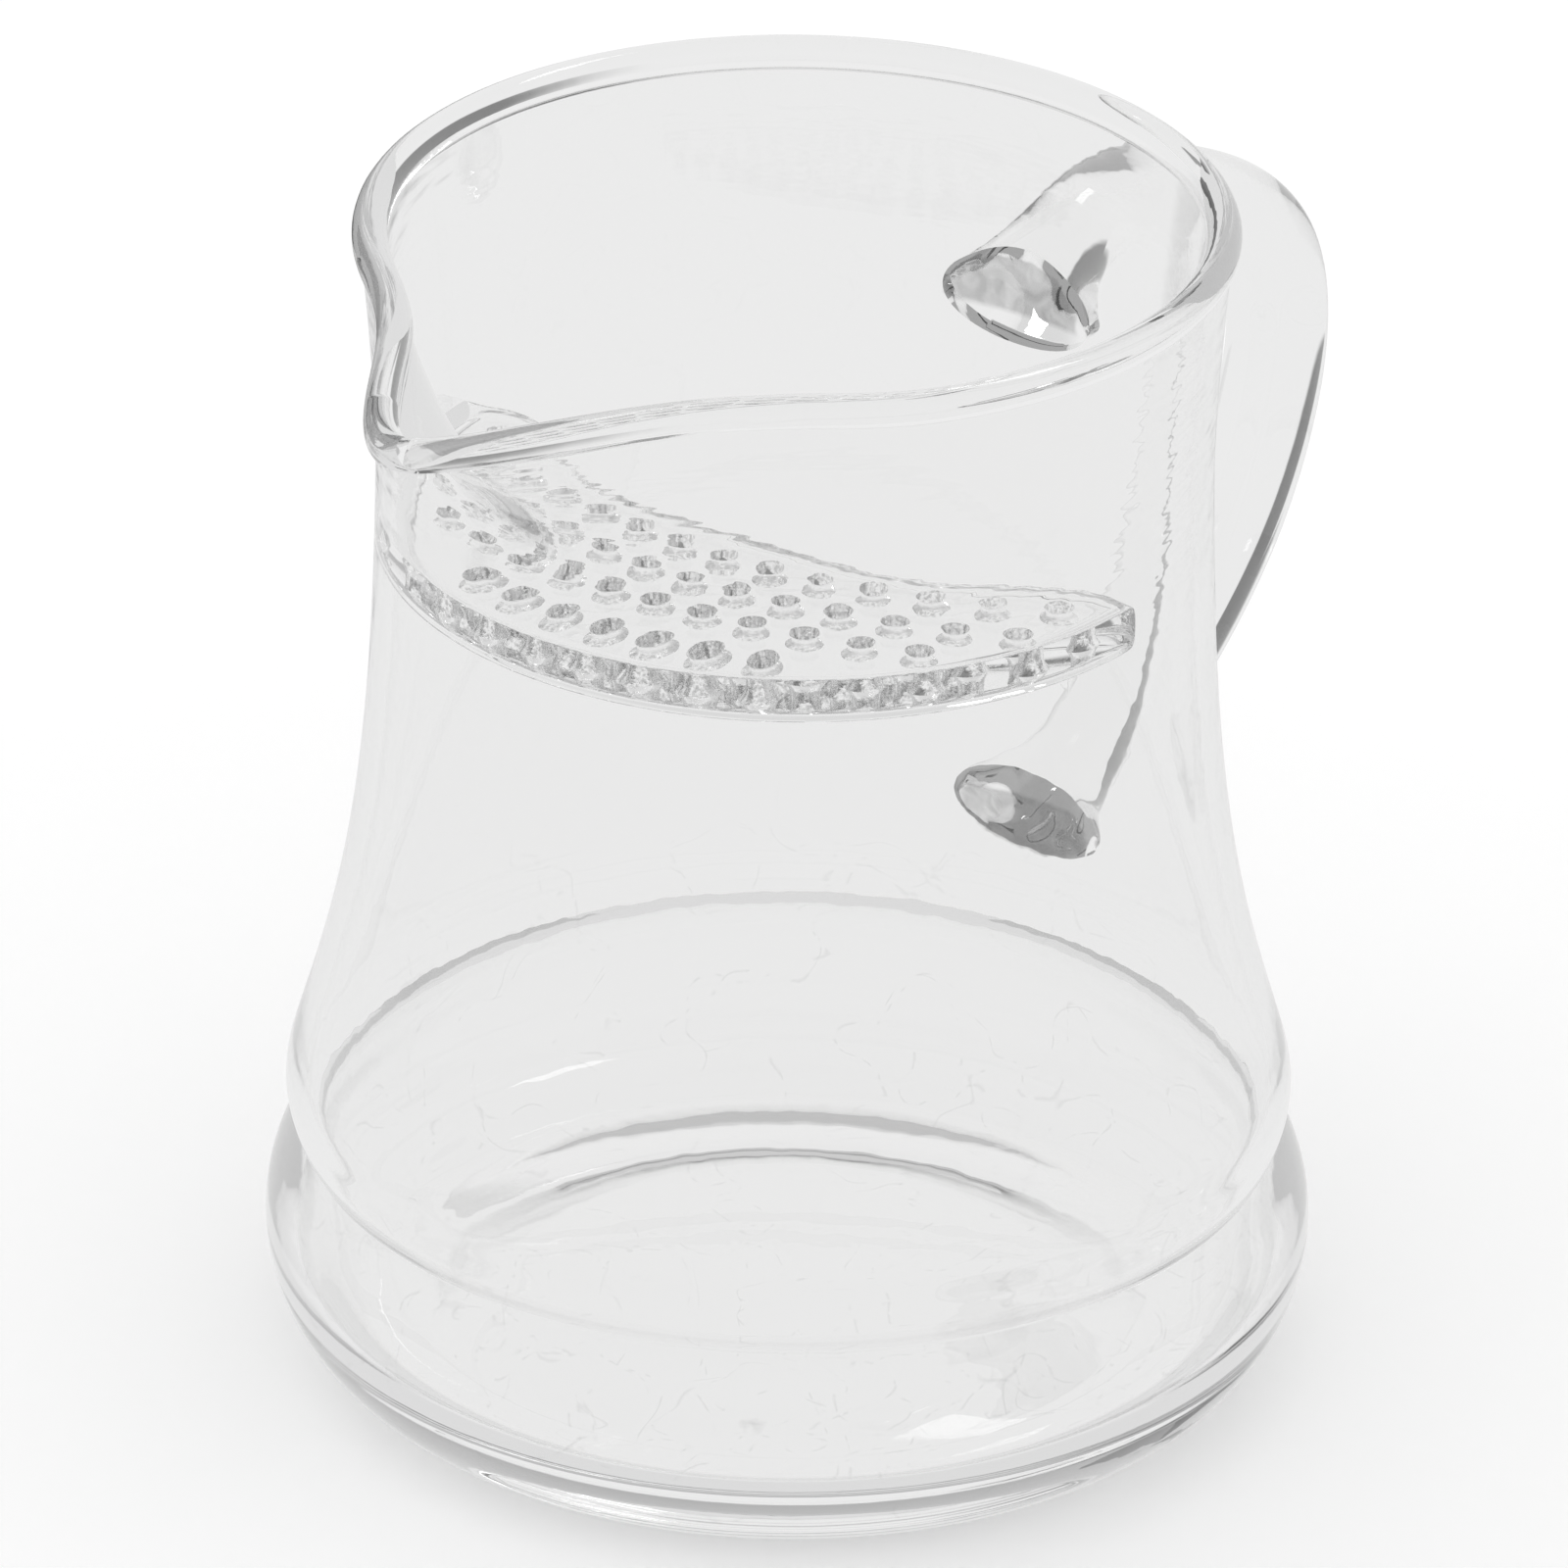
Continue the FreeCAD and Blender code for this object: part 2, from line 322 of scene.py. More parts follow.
path = splineThrough(handle["path"], handle["steps"])
easeReach, easeSpread = handle["easing"]
kernel = np.exp(-0.5 * (np.arange(-easeReach, easeReach + 1) / easeSpread) ** 2)
kernel /= kernel.sum()
padded = np.concatenate([2 * path[0] - path[easeReach:0:-1], path,
                         2 * path[-1] - path[-2:-2 - easeReach:-1]])
path = np.stack([np.convolve(padded[:, k], kernel, "valid") for k in range(3)], 1)
pathLength = np.concatenate([[0], np.cumsum(np.linalg.norm(np.diff(path, axis=0), axis=1))])
heading = np.gradient(path, axis=0)[:, :2]
heading /= np.linalg.norm(heading, axis=1)[:, None]
roundTurn = np.arange(handle["around"]) / handle["around"] * 2 * np.pi
rodRings = []
for place, spot, ahead in zip(pathLength, path, heading):
    toEnd = min(place, pathLength[-1] - place)
    swell = max(0.0, 1 - toEnd / handle["weldLength"]) ** 2
    wide = handle["rodRadius"] + (handle["weldWide"] - handle["rodRadius"]) * swell
    tall = handle["rodRadius"] + (handle["weldTall"] - handle["rodRadius"]) * swell
    across = np.array([-ahead[1], ahead[0]])
    radial = spot[0] + across[0] * tall * np.cos(roundTurn)
    height = spot[1] + across[1] * tall * np.cos(roundTurn)
    rodRings.append(np.stack([-radial, spot[2] + wide * np.sin(roundTurn), height], 1))


def sinkIntoWall(ring):
    # the ring's points moved level, towards the axis, to the middle of the wall
    sunk = ring.copy()
    for point in sunk:
        middle = wallRadius(point[2]) - wall / 2
        point[0] = -math.sqrt(middle ** 2 - point[1] ** 2)
    return sunk


rodRings = [sinkIntoWall(rodRings[0])] + rodRings + [sinkIntoWall(rodRings[-1])]
points, faces = skinRings(rodRings, rodRings[0].mean(0), rodRings[-1].mean(0))
rod = makeSolid("handleRod", points, faces)
stage("handle rod of %d rings" % len(rodRings))


# strainer plate: a crescent let into the inner wall, with a hollow fillet where it was fused
plate = {
    "top": 83.2,
    "thick": 2.9,
    "edge": [(6.7, 0), (6.6, 6), (6.1, 12), (5.0, 17), (2.8, 21.2), (0.6, 25), (-1.0, 28.3), (-1.5, 31),
             (-1.0, 33.4), (0.4, 35.2), (2.0, 36.1)],
    "edgeRound": 1.0,
    "edgeShare": 0.4,                   # most that the rounding takes of the way to the wall
    "edgeTurn": (80, 9),                # degrees each way over the rounded edge, and its points
    "edgePower": 0.7,                   # under 1 is squarer than round
    "shadedEdgeRows": 3,                   # rows of faces, from the edge's top, that get the holes' painted mottled shade
    "closeness": 2.2,                   # how much closer together the points stand at the wall
    "filletTop": (0.7, 2.2, 2.0),       # height at the wall, run, and how it curves
    "filletUnder": (0.5, 1.5, 2.0),
    "horn": (0.075, 0.25),              # share of the length that thins out, and what is left at its end
    "along": 150,
    "across": 28,
}
innerWall = body["neckRadius"] - wall
wallMiddle = body["neckRadius"] - wall / 2
halfEdge = splineThrough(plate["edge"], plate["along"])
innerEdge = np.concatenate([halfEdge[:0:-1] * (1, -1), halfEdge])
endAngle = math.atan2(halfEdge[-1][1], halfEdge[-1][0])
share = np.linspace(-1, 1, len(innerEdge))
wallEdge = np.stack([wallMiddle * np.cos(share * endAngle), wallMiddle * np.sin(share * endAngle)], 1)


def fillet(spot, kind):
    # height of the fillet over a spot of the plate
    most, run, power = plate[kind]
    distance = innerWall - np.hypot(*spot)
    return most * min(1.0, max(0.0, 1 - distance / run)) ** power


halfThick = plate["thick"] / 2
middleHeight = plate["top"] - halfThick
spread = 1 - np.linspace(0, 1, plate["across"]) ** plate["closeness"]
mostTurn, turnSteps = plate["edgeTurn"]
plateRings = []
hornShare, hornLeft = plate["horn"]
for edgeSpot, wallSpot, placed in zip(innerEdge, wallEdge, share):
    # the two horns thin out to a round nose
    inward = max(0.0, 1 - (1 - abs(placed)) / hornShare)
    thin = halfThick * (hornLeft + (1 - hornLeft) * math.sqrt(1 - inward ** 2))
    towards = edgeSpot - wallSpot
    far = max(1e-6, np.hypot(*towards))
    towards = towards / far
    rounding = min(plate["edgeRound"], plate["edgeShare"] * far)
    flatEnd = edgeSpot - towards * rounding
    ring = []
    for part in spread:
        spot = flatEnd + (wallSpot - flatEnd) * part
        ring.append((*spot, middleHeight + thin + fillet(spot, "filletTop")))
    for turnTo in np.linspace(mostTurn, -mostTurn, turnSteps):
        bow = math.cos(math.radians(turnTo)) ** plate["edgePower"]
        side = math.copysign(abs(math.sin(math.radians(turnTo))) ** plate["edgePower"], turnTo)
        spot = flatEnd + towards * rounding * bow
        kind = "filletTop" if side > 0 else "filletUnder"
        ring.append((*spot, middleHeight + side * (thin + fillet(spot, kind))))
    for part in spread[::-1]:
        spot = flatEnd + (wallSpot - flatEnd) * part
        ring.append((*spot, middleHeight - thin - fillet(spot, "filletUnder")))
    plateRings.append(np.array(ring))
points, faces = skinRings(plateRings, plateRings[0].mean(0), plateRings[-1].mean(0))
crescent = makeSolid("strainerCrescent", points, faces)
stage("strainer plate of %d rings" % len(plateRings))


# strainer holes: one bowed row at a time, cut by Geometry Nodes
holes = {
    # holes on each side of the middle one, x, bow, and how much longer than round they are
    "rows": [(6, 11.2, 8.0, 1.0), (6, 16.3, 6.7, 1.0), (5, 21.4, 4.2, 1.05), (3, 28.6, 2.3, 1.6)],
    "bowPower": 2.1,
    "pitch": 4.8,
    "pitchGrowth": 0.005,
    "radius": 1.08,
    "mouth": 1.75,              # the holes widen to this at the lower face
    "mouthFade": 2400.0,        # per metre, how quickly they narrow above it
    "lip": 0.25,                # how much wider they are at the upper face
    "lipFade": 3500.0,
    "depth": 14.0,
    "cutterSides": 22,
    "cutterRings": 34,
    "sizes": (0.94, 1.07),
    "tilt": 0.03,               # radians, off the upright
    "twist": 0.2,               # radians, about the upright
}


class NodeMaker:
    # short hand for building a tree: add a node, feed its sockets, hand back its first output
    def __init__(self, tree):
        self.tree = tree

    def add(self, kind, inputs=None, output=0, **settings):
        node = self.tree.nodes.new(kind)
        for name, value in settings.items():
            setattr(node, name, value)
        for key, value in (inputs or {}).items():
            self.feed(node.inputs[key], value)
        return node.outputs[output]

    def feed(self, socket, value):
        if isinstance(value, bpy.types.NodeSocket):
            self.tree.links.new(value, socket)
        else:
            socket.default_value = value

    def maths(self, operation, *values):
        return self.add("ShaderNodeMath", dict(enumerate(values)), operation=operation)

    def mapped(self, value, taken, given, interpolation="LINEAR"):
        return self.add("ShaderNodeMapRange", {
            "Value": value, "From Min": taken[0], "From Max": taken[1],
            "To Min": given[0], "To Max": given[1]}, interpolation_type=interpolation)

    def noise(self, place, scale, detail=1.0, roughness=0.5, distortion=0.0):
        return self.add("ShaderNodeTexNoise", {"Vector": place, "Scale": scale, "Detail": detail,
                                               "Roughness": roughness, "Distortion": distortion})

    def dot(self, place, direction):
        return self.add("ShaderNodeVectorMath", {0: place, 1: direction}, output=1,
                        operation="DOT_PRODUCT")


def holeRowTree():
    tree = bpy.data.node_groups.new("strainerHoleRow", "GeometryNodeTree")
    wanted = [("Each Side", "NodeSocketInt", 6), ("Row Place", "NodeSocketFloat", 0.01),
              ("Bow", "NodeSocketFloat", 0.005), ("Pitch", "NodeSocketFloat", 0.0048),
              ("Radius", "NodeSocketFloat", 0.001), ("Mouth", "NodeSocketFloat", 0.0014),
              ("Stretch", "NodeSocketFloat", 1.0),
              ("Lower Face", "NodeSocketFloat", 0.08), ("Upper Face", "NodeSocketFloat", 0.083),
              ("Depth", "NodeSocketFloat", 0.014), ("Seed", "NodeSocketInt", 4),
              ("Material", "NodeSocketMaterial", None)]
    for name, kind, value in wanted:
        socket = tree.interface.new_socket(name, in_out="INPUT", socket_type=kind)
        if value is not None:
            socket.default_value = value
    tree.interface.new_socket("Geometry", in_out="OUTPUT", socket_type="NodeSocketGeometry")
    make = NodeMaker(tree)
    given = tree.nodes.new("NodeGroupInput").outputs
    # one point for each hole, numbered from the middle of the row
    count = make.maths("MULTIPLY_ADD", given["Each Side"], 2.0, 1.0)
    points = make.add("GeometryNodePoints", {"Count": count})
    place = make.maths("SUBTRACT", make.add("GeometryNodeInputIndex"), given["Each Side"])
    far = make.maths("ABSOLUTE", place)
    y = make.maths("MULTIPLY", make.maths("MULTIPLY", place, given["Pitch"]),
                   make.maths("MULTIPLY_ADD", far, holes["pitchGrowth"], 1.0))
    bowed = make.maths("POWER", make.maths("DIVIDE", far, given["Each Side"]), holes["bowPower"])
    x = make.maths("SUBTRACT", given["Row Place"], make.maths("MULTIPLY", bowed, given["Bow"]))
    middle = make.maths("MULTIPLY", make.maths("ADD", given["Lower Face"], given["Upper Face"]), 0.5)
    where = make.add("ShaderNodeCombineXYZ", {"X": x, "Y": y, "Z": middle})
    points = make.add("GeometryNodeSetPosition", {"Geometry": points, "Position": where})
    # a slim cutter that widens past both faces
    cutter = make.add("GeometryNodeMeshCylinder", {
        "Vertices": holes["cutterSides"], "Side Segments": holes["cutterRings"], "Radius": 1.0,
        "Depth": given["Depth"]})
    thickness = make.maths("SUBTRACT", given["Upper Face"], given["Lower Face"])
    halfThick = make.maths("MULTIPLY", thickness, 0.5)
    split = tree.nodes.new("ShaderNodeSeparateXYZ")
    make.feed(split.inputs[0], make.add("GeometryNodeInputPosition"))
    inward = make.maths("MAXIMUM", make.maths("ADD", split.outputs["Z"], halfThick), 0.0)
    widening = make.maths("EXPONENT", make.maths("MULTIPLY", inward, -holes["mouthFade"]))
    lower = make.maths("MULTIPLY", make.maths("SUBTRACT", given["Mouth"], given["Radius"]), widening)
    inward = make.maths("MAXIMUM", make.maths("SUBTRACT", halfThick, split.outputs["Z"]), 0.0)
    widening = make.maths("EXPONENT", make.maths("MULTIPLY", inward, -holes["lipFade"]))
    upper = make.maths("MULTIPLY", widening, holes["lip"] * mm)
    size = make.maths("ADD", given["Radius"], make.maths("ADD", lower, upper))
    long = make.maths("MULTIPLY", size, given["Stretch"])
    shaped = make.add("ShaderNodeCombineXYZ", {"X": make.maths("MULTIPLY", split.outputs["X"], long),
                                               "Y": make.maths("MULTIPLY", split.outputs["Y"], size),
                                               "Z": split.outputs["Z"]})
    cutter = make.add("GeometryNodeSetPosition", {"Geometry": cutter, "Position": shaped})
    # no two pressed holes are quite alike
    smallest, largest = holes["sizes"]
    sizes = make.add("FunctionNodeRandomValue", {
        "Min": (smallest, smallest, 1.0), "Max": (largest, largest, 1.0), "Seed": given["Seed"]},
        data_type="FLOAT_VECTOR")
    tilt, twist = holes["tilt"], holes["twist"]
    turns = make.add("FunctionNodeRandomValue", {
        "Min": (-tilt, -tilt, -twist), "Max": (tilt, tilt, twist), "Seed": given["Seed"]},
        data_type="FLOAT_VECTOR")
    cutters = make.add("GeometryNodeInstanceOnPoints", {
        "Points": points, "Instance": cutter, "Rotation": turns, "Scale": sizes})
    real = make.add("GeometryNodeRealizeInstances", {"Geometry": cutters})
    finished = make.add("GeometryNodeSetMaterial", {"Geometry": real, "Material": given["Material"]})
    out = tree.nodes.new("NodeGroupOutput")
    tree.links.new(finished, out.inputs["Geometry"])
    return tree


def fromNodes(name, tree, values):
    # runs the tree on an empty mesh and hands back the plain mesh that it makes
    holder = makeObject(name, [], [])
    modifier = holder.modifiers.new(name, "NODES")
    modifier.node_group = tree
    for item in tree.interface.items_tree:
        if item.in_out == "INPUT" and item.name in values:
            modifier[item.identifier] = values[item.name]
    evaluated = holder.evaluated_get(bpy.context.evaluated_depsgraph_get())
    mesh = bpy.data.meshes.new_from_object(evaluated)
    holder.modifiers.clear()
    holder.data = mesh
    return holder


# glass: clear, with faint waves, ridges on the neck, and painted mottled shade and fine bumps where the plate
# was pressed
glass = {
    "tint": (0.98, 0.98, 0.979, 1),
    "ior": 1.47,
    "waveSize": 3.2,            # mm
    "waveDepth": 0.009,         # mm
    "ridgeSize": (7.0, 1.3),    # mm, level and upright
    "ridgeDepth": 0.016,
    "ridgesFrom": (76, 90),     # mm, height at which the ridges fade in
    "ridgesBelow": 0.08,        # what is left of them below that
    "shadow": 0.96,             # what the glass lets through of a lamp's light
    "trapped": 3.5,             # bounces after which light leaves the glass
    "longPath": 0.84,           # what is left of light that has bounced about inside the wall
    "rodPath": 0.42,            # and of light that has run along the handle
    "scratchDepth": 0.18,       # how dark the faint wiping marks near the foot are
    "scratchSize": (11.0, 0.008),           # mm, and half width as a share of the noise
    "scratchGaps": (0.5, 0.6),  # noise over which the marks break off
    "scratchesBelow": (18, 34),             # mm
    "scratchesAbove": 0.1,      # what is left of them above that
    "pressedShade": (0.32, 0.98),            # darkest and lightest of the painted mottled shade in the holes and edge
    "pressedNoise": (0.36, 0.6),            # the noise that gives the one and the other
    "pressedSize": 0.34,        # mm
    "pressedDepth": 0.05,       # mm
}
# half moons of painted shade on the inner wall where the handle was fused on, mottled
weldPaintedShade = {
    # centre, half sizes across and upright, and the part of the height, from -1 to 1, that is shaded
    "moons": [((-35.2, 0.0, 89.0), (7.5, 4.9), (-0.15, 1.3)),
              ((-41.8, -1.2, 34.7), (7.4, 4.6), (-1.3, 0.5))],
    "fray": (900.0, 0.25),      # noise per metre along the outline, and how far it moves it
    "outline": (0.93, 1.1),     # squared distance, in half sizes, over which a moon fades
    "cut": 0.06,                # half width, in half sizes, over which its flat side fades
    "innerSide": (0.4, 1.3),    # mm, middle and half depth of the glass that takes the painted shade
    "swirl": (420.0, 1.2),      # noise per metre of the painted shade's mottle, and how it is stirred
    "weldShadeNoise": (0.3, 0.7),
    "weldShadeTint": (0.3, 0.56),       # its darkest and lightest
}


def weldShade(make, place):
    # the mask of the painted shade: 1 on the inner wall in front of a weld, 0 elsewhere
    split = make.tree.nodes.new("ShaderNodeSeparateXYZ")
    make.feed(split.inputs[0], place)
    frayScale, frayDepth = weldPaintedShade["fray"]
    innerSide, halfDepth = weldPaintedShade["innerSide"]
    cut = weldPaintedShade["cut"]
    rough = make.noise(place, frayScale, detail=0.0)
    shade = None
    for centre, size, shadedSpan in weldPaintedShade["moons"]:
        across = make.maths("SUBTRACT", split.outputs["Y"], centre[1] * mm)
        across = make.maths("DIVIDE", across, size[0] * mm)
        upright = make.maths("SUBTRACT", split.outputs["Z"], centre[2] * mm)
        upright = make.maths("DIVIDE", upright, size[1] * mm)
        far = make.maths("ADD", make.maths("MULTIPLY", across, across),
                         make.maths("MULTIPLY", upright, upright))
        far = make.maths("MULTIPLY_ADD", rough, frayDepth, far)
        moonShade = make.mapped(far, weldPaintedShade["outline"], (1.0, 0.0), "SMOOTHSTEP")
        for limit, sign in zip(shadedSpan, (1, -1)):
            inside = make.maths("MULTIPLY", make.maths("SUBTRACT", upright, limit), sign)
            moonShade = make.maths("MULTIPLY", moonShade, make.mapped(inside, (-cut, cut), (0.0, 1.0)))
        depth = make.maths("SUBTRACT", split.outputs["X"], (centre[0] + innerSide) * mm)
        depth = make.maths("ABSOLUTE", depth)
        moonShade = make.maths("MULTIPLY", moonShade, make.maths("LESS_THAN", depth, halfDepth * mm))
        shade = moonShade if shade is None else make.maths("MAXIMUM", shade, moonShade)
    return shade


def glassMaterial(name, kind):
    # kind is wall, rod or pressed
    material = bpy.data.materials.new(name)
    material.use_nodes = True
    tree = material.node_tree
    tree.nodes.clear()
    make = NodeMaker(tree)
    place = make.add("ShaderNodeTexCoord", output=3)
    waves = make.noise(place, 1 / (glass["waveSize"] * mm))
    level, upright = [1 / (size * mm) for size in glass["ridgeSize"]]
    flat = make.add("ShaderNodeMapping", {"Vector": place, "Scale": (level, level, upright)})
    split = tree.nodes.new("ShaderNodeSeparateXYZ")
    make.feed(split.inputs[0], place)
    neck = [height * mm for height in glass["ridgesFrom"]]
    onNeck = make.mapped(split.outputs["Z"], neck, (glass["ridgesBelow"], 1.0), "SMOOTHSTEP")
    ridges = make.maths("MULTIPLY", make.noise(flat, 1.0), onNeck)
    height = make.maths("MULTIPLY_ADD", ridges, glass["ridgeDepth"] / glass["waveDepth"], waves)
    shader = tree.nodes.new("ShaderNodeBsdfPrincipled")
    shader.inputs["Base Color"].default_value = glass["tint"]
    shader.inputs["Roughness"].default_value = 0.0
    shader.inputs["IOR"].default_value = glass["ior"]
    shader.inputs["Transmission Weight"].default_value = 1.0
    if kind == "pressed":
        fine = make.noise(place, 1 / (glass["pressedSize"] * mm), detail=2.0, roughness=0.6)
        height = make.maths("MULTIPLY_ADD", fine, glass["pressedDepth"] / glass["waveDepth"], height)
        # painted shade: the same fine noise that bumps the pressed glass also darkens its tint in a mottle
        mottledShade = make.mapped(fine, glass["pressedNoise"], glass["pressedShade"])
        make.feed(shader.inputs["Base Color"], mottledShade)
    if kind == "wall":
        # painted shade in front of the welds: the tint darkens inside the half moons, mottled by the swirl
        # noise
        swirlScale, swirlStir = weldPaintedShade["swirl"]
        swirl = make.noise(place, swirlScale, distortion=swirlStir)
        weldShadeTint = make.mapped(swirl, weldPaintedShade["weldShadeNoise"], weldPaintedShade["weldShadeTint"])
        base = make.add("ShaderNodeMix", {0: weldShade(make, place), 6: glass["tint"], 7: weldShadeTint}, output=2,
                        data_type="RGBA")
        # faint curved wiping marks near the foot
        size, width = glass["scratchSize"]
        curves = make.noise(place, 1 / (size * mm))
        line = make.maths("ABSOLUTE", make.maths("SUBTRACT", curves, 0.5))
        line = make.mapped(line, (0.0, width), (1.0, 0.0))
        broken = make.mapped(swirl, glass["scratchGaps"], (0.0, 1.0))
        low = [height * mm for height in glass["scratchesBelow"]]
        nearFoot = make.mapped(split.outputs["Z"], low, (1.0, glass["scratchesAbove"]))
        line = make.maths("MULTIPLY", make.maths("MULTIPLY", line, broken), nearFoot)
        marked = make.maths("MULTIPLY_ADD", line, -glass["scratchDepth"], 1.0)
        base = make.add("ShaderNodeVectorMath", {0: base, 3: marked}, operation="SCALE")
        make.feed(shader.inputs["Base Color"], base)
    bump = make.add("ShaderNodeBump", {
        "Height": height, "Distance": glass["waveDepth"] * mm, "Strength": 1.0})
    make.feed(shader.inputs["Normal"], bump)
    rays = tree.nodes.new("ShaderNodeLightPath").outputs
    # light that keeps bouncing inside would end black at the bounce limit; here it leaves, dimmed
    trapped = make.maths("GREATER_THAN", rays["Glossy Depth"], glass["trapped"])
    left = glass["rodPath" if kind == "rod" else "longPath"]
    leaving = make.add("ShaderNodeBsdfTransparent", {"Color": (left, left, left, 1)})
    inside = make.add("ShaderNodeMixShader", {0: trapped, 1: shader.outputs[0], 2: leaving})
    # lamps shine through the glass instead of leaving it a black shadow
    through = glass["shadow"]
    clear = make.add("ShaderNodeBsdfTransparent", {"Color": (through, through, through, 1)})
    mixed = make.add("ShaderNodeMixShader", {0: rays["Is Shadow Ray"], 1: inside, 2: clear})
    out = tree.nodes.new("ShaderNodeOutputMaterial")
    tree.links.new(mixed, out.inputs["Surface"])
    return material


wallGlass = glassMaterial("wallGlass", "wall")
rodGlass = glassMaterial("rodGlass", "rod")
pressedGlassShaded = glassMaterial("pressedGlassShaded", "pressed")
finishes = [wallGlass, rodGlass, pressedGlassShaded]
rowTree = holeRowTree()
cutters = []
for number, (eachSide, rowPlace, bow, stretch) in enumerate(holes["rows"]):
    cutters.append(fromNodes("holeRow%d" % number, rowTree, {
        "Each Side": eachSide, "Row Place": rowPlace * mm, "Bow": bow * mm, "Pitch": holes["pitch"] * mm,
        "Radius": holes["radius"] * mm, "Mouth": holes["mouth"] * mm, "Stretch": stretch,
        "Lower Face": (plate["top"] - plate["thick"]) * mm, "Upper Face": plate["top"] * mm,
        "Depth": holes["depth"] * mm, "Seed": 11 + number, "Material": pressedGlassShaded}))
stage("holes: %s" % [len(cutter.data.polygons) for cutter in cutters])


def combine(target, tool, operation):
    # boolean whose result stays as a plain mesh; the tool goes
    modifier = target.modifiers.new("fuse", "BOOLEAN")
    modifier.operation = operation
    modifier.solver = "MANIFOLD"
    modifier.material_mode = "TRANSFER"
    modifier.object = tool
    evaluated = target.evaluated_get(bpy.context.evaluated_depsgraph_get())
    mesh = bpy.data.meshes.new_from_object(evaluated)
    target.modifiers.clear()
    target.data = mesh
    bpy.data.objects.remove(tool)


for piece, finish in ((glassBody, wallGlass), (rod, rodGlass), (crescent, wallGlass)):
    piece.data.materials.append(finish)
# the crescent's upper inner edge gets the same painted mottled shade as its holes
crescent.data.materials.append(pressedGlassShaded)
ringSize = len(plateRings[0])
for number in range(ringSize * (len(plateRings) - 1)):
    if 0 <= number % ringSize - (plate["across"] - 1) < plate["shadedEdgeRows"]:
        crescent.data.polygons[number].material_index = 1
for cutter in cutters:
    combine(crescent, cutter, "DIFFERENCE")
stage("crescent with holes: %d faces" % len(crescent.data.polygons))
combine(glassBody, crescent, "UNION")
combine(glassBody, rod, "UNION")
# every face points at the material it had before the pieces were fused
mesh = glassBody.data
places = [finishes.index(material) if material in finishes else 0 for material in mesh.materials]
kept = np.zeros(len(mesh.polygons), int)
mesh.polygons.foreach_get("material_index", kept)
kept = np.array(places)[kept]
mesh.materials.clear()
for finish in finishes:
    mesh.materials.append(finish)
mesh.polygons.foreach_set("material_index", kept)
stage("faces of each finish: %s" % np.bincount(kept, minlength=3).tolist())
mesh.shade_smooth()
sharpAngle = 34                 # degrees
mesh.set_sharp_from_angle(angle=math.radians(sharpAngle))
stage("fused glass: %d faces" % len(mesh.polygons))

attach(glassBody, "root")
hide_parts("glass_body", "handle", "strainer_plate")


# room: white floor and surroundings, darker overhead and in one corner, which only the glass shows
room = {
    "floorSize": 8.0,           # metres
    "floorWhite": 0.8,
    "floorGlow": 0.2,
    "throughGlass": 0.85,       # how bright the floor shows in and through the glass
    "surround": 0.87,           # and how bright the room around it
    "ceiling": 0.8,             # what is left of that overhead
    "ceilingFrom": (0.35, 0.85),        # sines of the height at which the ceiling starts and is darkest
    "darkCorner": (-0.423, -0.906, 0.0),
    "cornerSoft": (0.93, 0.985),        # cosines at which the corner starts and is darkest
    "cornerShade": 0.22,
    # the floor is dark too, in a sector towards the corner and beyond an edge
    "floorCorner": (-0.545, -0.839, 0.0),
    "floorSector": (0.24, 0.35),        # tangents off the sector's middle, over which it fades
    "floorEdge": (0, -1, 0),            # the way to the edge
    "floorFades": (0.178, 0.2),         # metres along it
}


def floorMaterial():
    material = bpy.data.materials.new("whiteFloor")
    material.use_nodes = True
    tree = material.node_tree
    tree.nodes.clear()
    make = NodeMaker(tree)
    rays = tree.nodes.new("ShaderNodeLightPath").outputs
    throughGlass = make.maths("MAXIMUM", rays["Is Glossy Ray"], rays["Is Transmission Ray"])
    grey = room["floorWhite"]
    lit = make.add("ShaderNodeBsdfDiffuse", {"Color": (grey, grey, grey, 1)})
    glow = make.add("ShaderNodeEmission", {"Color": (1, 1, 1, 1), "Strength": room["floorGlow"]})
    plain = make.add("ShaderNodeAddShader", {0: lit, 1: glow})
    place = make.add("ShaderNodeTexCoord", output=3)
    corner = Vector(room["floorCorner"])
    away = make.dot(place, corner.normalized())
    sideways = make.dot(place, Vector((-corner.y, corner.x, 0)).normalized())
    beyond = make.mapped(make.dot(place, Vector(room["floorEdge"])), room["floorFades"], (0.0, 1.0),
                         "SMOOTHSTEP")
    turned = make.maths("DIVIDE", make.maths("ABSOLUTE", sideways), make.maths("MAXIMUM", away, 0.01))
    within = make.mapped(turned, room["floorSector"], (1.0, 0.0), "SMOOTHSTEP")
    dark = make.maths("MULTIPLY", beyond, within)
    shade = make.maths("MULTIPLY_ADD", dark, room["cornerShade"] - 1, 1.0)
    white = make.add("ShaderNodeEmission", {"Color": shade, "Strength": room["throughGlass"]})
    mixed = make.add("ShaderNodeMixShader", {0: throughGlass, 1: plain, 2: white})
    out = tree.nodes.new("ShaderNodeOutputMaterial")
    tree.links.new(mixed, out.inputs["Surface"])
    return material


half = room["floorSize"] / 2 / mm
floorSpots = [(-half, -half, 0), (half, -half, 0), (half, half, 0), (-half, half, 0)]
floor = makeObject("floor", floorSpots, [(0, 1, 2, 3)])
floor.data.materials.append(floorMaterial())

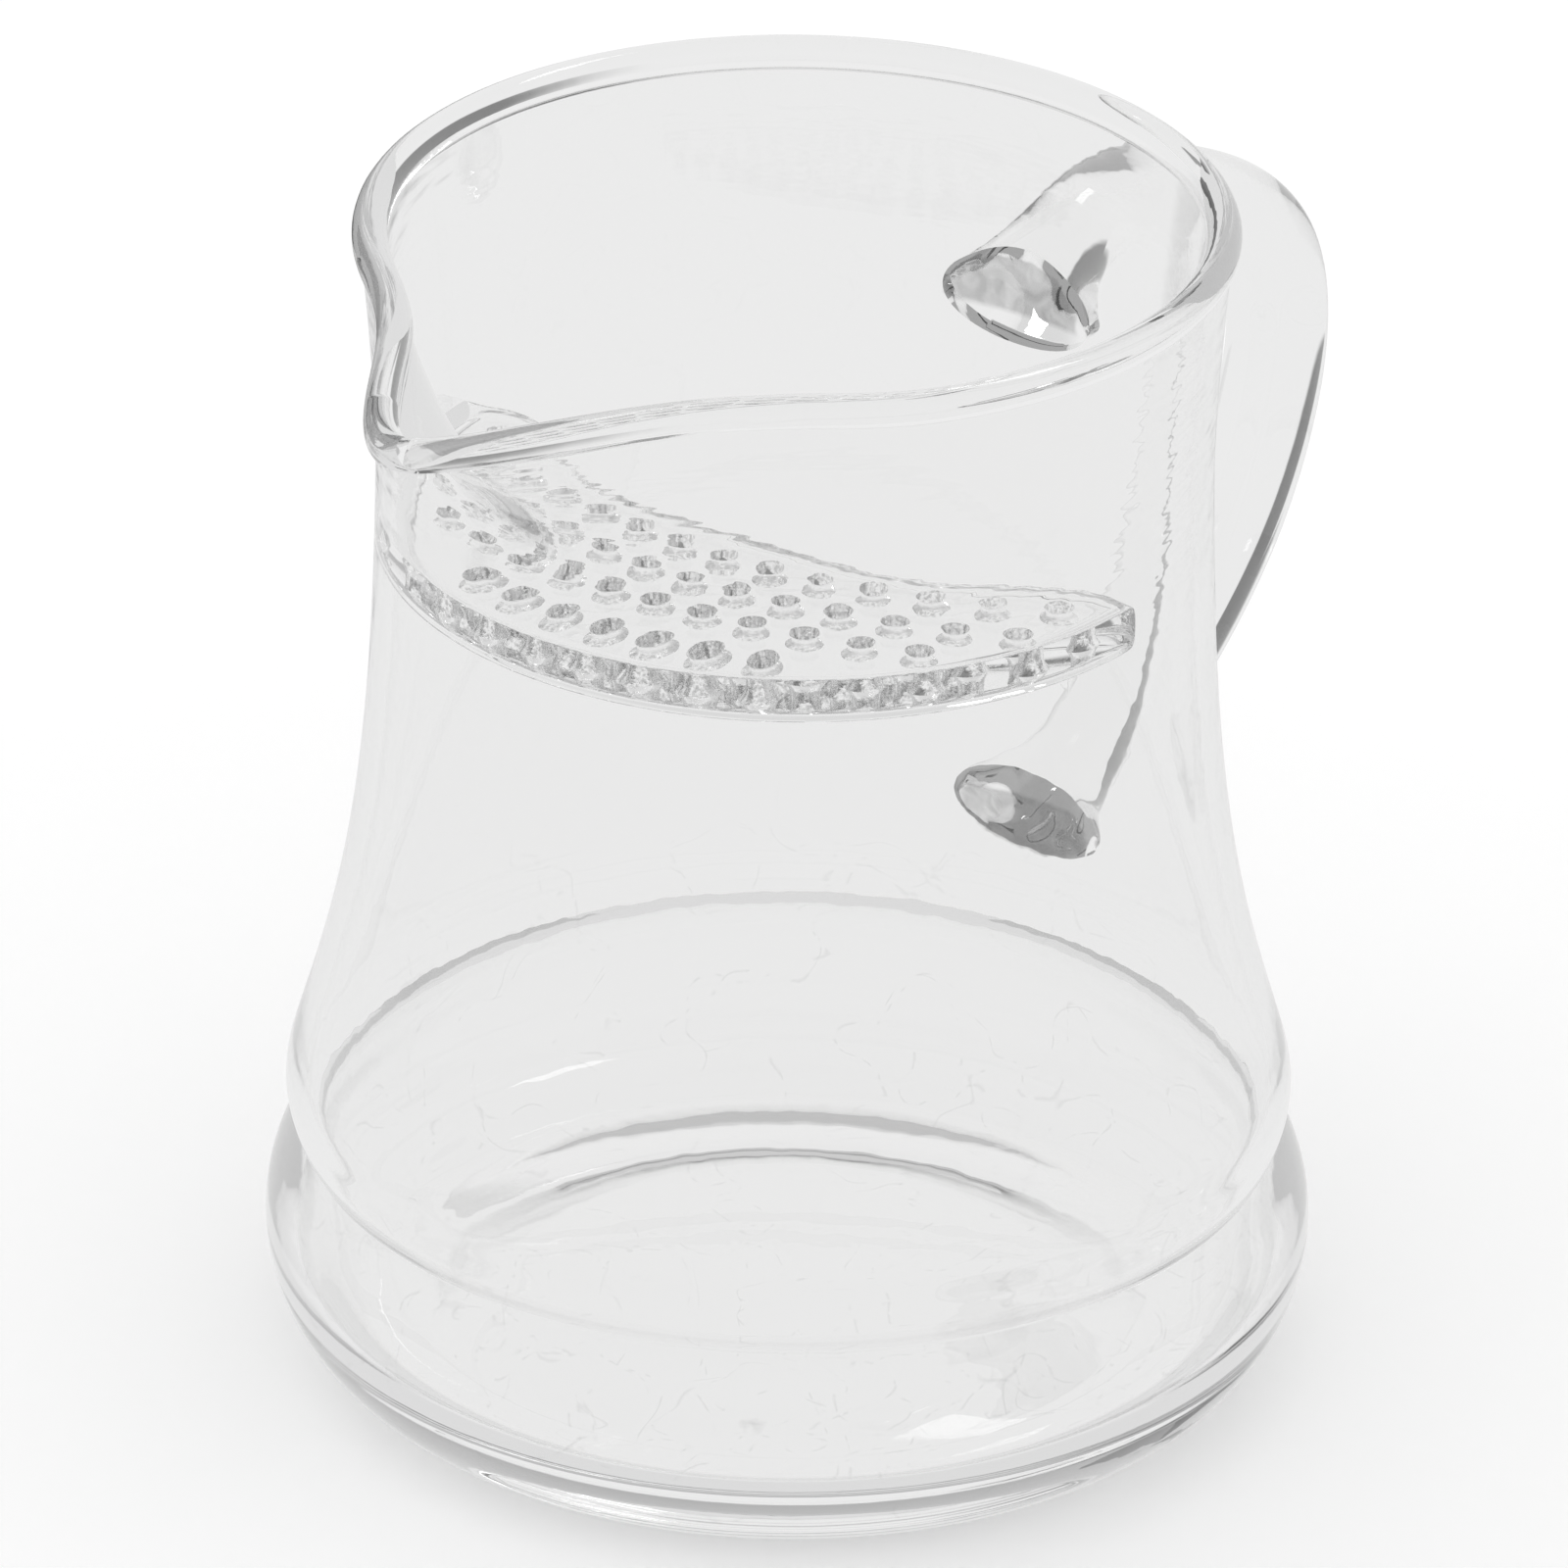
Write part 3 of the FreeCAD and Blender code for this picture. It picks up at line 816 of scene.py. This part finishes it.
world = bpy.data.worlds.new("studio")
bpy.context.scene.world = world
world.use_nodes = True
world.node_tree.nodes.clear()
make = NodeMaker(world.node_tree)
rays = world.node_tree.nodes.new("ShaderNodeLightPath").outputs
direction = make.add("ShaderNodeTexCoord", output=0)
upward = make.add("ShaderNodeSeparateXYZ", {0: direction}, output=2)
overhead = make.mapped(upward, room["ceilingFrom"], (1.0, room["ceiling"]), "SMOOTHSTEP")
towards = make.dot(direction, Vector(room["darkCorner"]).normalized())
corner = make.mapped(towards, room["cornerSoft"], (1.0, room["cornerShade"]), "SMOOTHSTEP")
surround = make.maths("MULTIPLY", make.maths("MULTIPLY", overhead, corner), room["surround"])
# seen straight on, and for what it lights, the room is plain white
plainWhite = make.maths("MAXIMUM", rays["Is Camera Ray"], rays["Is Diffuse Ray"])
colour = make.maths("MAXIMUM", surround, plainWhite)
background = make.add("ShaderNodeBackground", {"Color": colour, "Strength": 1.0})
out = world.node_tree.nodes.new("ShaderNodeOutputWorld")
world.node_tree.links.new(background, out.inputs["Surface"])

lamps = [
    # name, place, aims at, size, watts
    ("keySoftbox", (-0.78, 0.0, 1.3), (0, 0, 0.05), (0.34, 0.2), 0.9),
]
for name, place, aim, size, watts in lamps:
    light = bpy.data.lights.new(name, "AREA")
    light.shape = "RECTANGLE"
    light.size, light.size_y = size
    light.energy = watts
    lamp = bpy.data.objects.new(name, light)
    lamp.location = place
    lamp.rotation_euler = (Vector(aim) - Vector(place)).to_track_quat("-Z", "Y").to_euler()
    bpy.context.scene.collection.objects.link(lamp)

view = {
    "place": (0.911941, 0.615112, 0.623178),
    "turn": (62.69023, -0.53257, 124.311),      # degrees
    "lens": 317.622,
    "sensor": 36,
    "clip": (0.05, 50),
}
cameraData = bpy.data.cameras.new("photoView")
cameraData.sensor_width = view["sensor"]
cameraData.lens = view["lens"]
cameraData.clip_start, cameraData.clip_end = view["clip"]
camera = bpy.data.objects.new("photoView", cameraData)
camera.location = view["place"]
camera.rotation_euler = [math.radians(angle) for angle in view["turn"]]
bpy.context.scene.collection.objects.link(camera)
bpy.context.scene.camera = camera
bpy.context.scene.view_settings.view_transform = "Standard"
stage("room, lamps and camera set")
